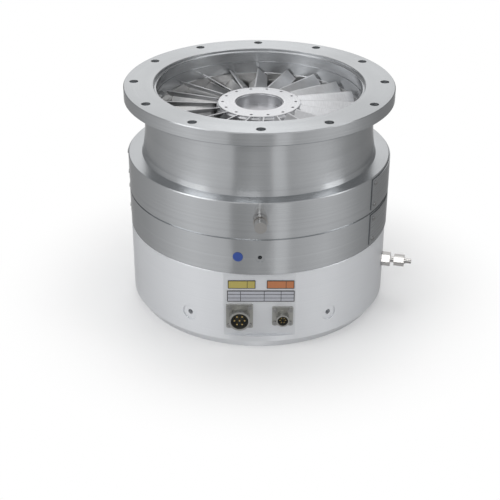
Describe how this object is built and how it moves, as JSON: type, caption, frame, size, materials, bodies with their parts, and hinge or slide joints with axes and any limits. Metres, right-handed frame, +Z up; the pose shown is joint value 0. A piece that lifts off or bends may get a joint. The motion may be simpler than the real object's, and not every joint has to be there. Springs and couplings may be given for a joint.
{
  "type": "turbomolecular vacuum pump",
  "caption": "Turbomolecular vacuum pump with bolted inlet flange, bladed rotor, magnetic bearings, rear foreline port and two round connectors.",
  "frame": {"origin": "centre of the base's bottom face, on the pump axis", "axes": "+Z up the pump axis to the inlet, -Y towards the connector side, +X towards the visible water fitting"},
  "size_m": [0.3661, 0.392, 0.285],
  "materials": {
    "casing_aluminium": "satin turned",
    "base_aluminium": "bright satin",
    "cover_sheet": "brushed",
    "seal_rubber": "matt",
    "stator_aluminium": "matt",
    "rotor_aluminium": "milled",
    "insert_plastic": "matt",
    "contact_brass": "polished",
    "connector_plating": "satin plating",
    "screw_steel": "satin",
    "plate_silver": "satin",
    "plate_yellow": "gloss",
    "plate_orange": "gloss",
    "disc_blue": "gloss",
    "fitting_steel": "satin",
    "bearing_steel": "ground",
    "magnet_laminations": "varnished"
  },
  "bodies": {
    "pump_body": {"base_housing": "base_aluminium", "base_oring": "seal_rubber", "bearing_column": "stator_aluminium", "bottom_cover": "base_aluminium", "bottom_cover_screws": "screw_steel", "casing_oring": "seal_rubber", "column_screws": "screw_steel", "cover_plate_middle_left": "cover_sheet", "cover_plate_middle_right": "cover_sheet", "cover_plate_upper_left": "cover_sheet", "cover_plate_upper_right": "cover_sheet", "cover_screws": "screw_steel", "drag_stator": "stator_aluminium", "earth_disc": "disc_blue", "foreline_port": "fitting_steel", "foreline_screws": "screw_steel", "inlet_casing": "casing_aluminium", "lower_bearing_stator": "magnet_laminations", "middle_housing": "casing_aluminium", "motor_stator": "magnet_laminations", "nameplate": "plate_silver", "power_connector_insert": "insert_plastic", "power_connector_pins": "contact_brass", "power_connector_screws": "screw_steel", "power_connector_shell": "connector_plating", "signal_connector_insert": "insert_plastic", "signal_connector_pins": "contact_brass", "signal_connector_screws": "screw_steel", "signal_connector_shell": "connector_plating", "stator_disc_1": "stator_aluminium", "stator_disc_2": "stator_aluminium", "stator_disc_3": "stator_aluminium", "stator_disc_4": "stator_aluminium", "stator_spacer_1": "stator_aluminium", "stator_spacer_2": "stator_aluminium", "stator_spacer_3": "stator_aluminium", "stator_spacer_4": "stator_aluminium", "stator_spacer_5": "stator_aluminium", "strip_plate_left": "plate_yellow", "strip_plate_right": "plate_orange", "thrust_stator_lower": "magnet_laminations", "thrust_stator_upper": "magnet_laminations", "touchdown_bearing_lower": "bearing_steel", "touchdown_bearing_upper": "bearing_steel", "upper_bearing_stator": "magnet_laminations", "vent_port": "fitting_steel", "water_fitting_rear": "fitting_steel", "water_fitting_right": "fitting_steel"},
    "rotor": {"rotor": "rotor_aluminium", "rotor_cap_ring": "rotor_aluminium", "rotor_cap_screws": "screw_steel", "rotor_shaft": "bearing_steel", "thrust_disc": "bearing_steel"},
    "vent_cap": {"vent_cap": "fitting_steel"},
    "water_nut_right": {"water_nut_right": "fitting_steel"},
    "water_nut_rear": {"water_nut_rear": "fitting_steel"}
  },
  "joints": [
    {"name": "rotor_spin", "type": "hinge", "parent": "pump_body", "child": "rotor", "pos_m": [0, 0, 0.2], "axis": [0, 0, 1], "continuous": true},
    {"name": "vent_cap_turn", "type": "hinge", "parent": "pump_body", "child": "vent_cap", "pos_m": [0, -0.18, 0.177], "axis": [0, -1, 0], "range_deg": [0, 360]},
    {"name": "water_nut_right_turn", "type": "hinge", "parent": "pump_body", "child": "water_nut_right", "pos_m": [0.18221, -0.04207, 0.057], "axis": [0.9744, -0.225, 0], "range_deg": [0, 360]},
    {"name": "water_nut_rear_turn", "type": "hinge", "parent": "pump_body", "child": "water_nut_rear", "pos_m": [0.0935, 0.16195, 0.057], "axis": [0.5, 0.866, 0], "range_deg": [0, 360]}
  ]
}
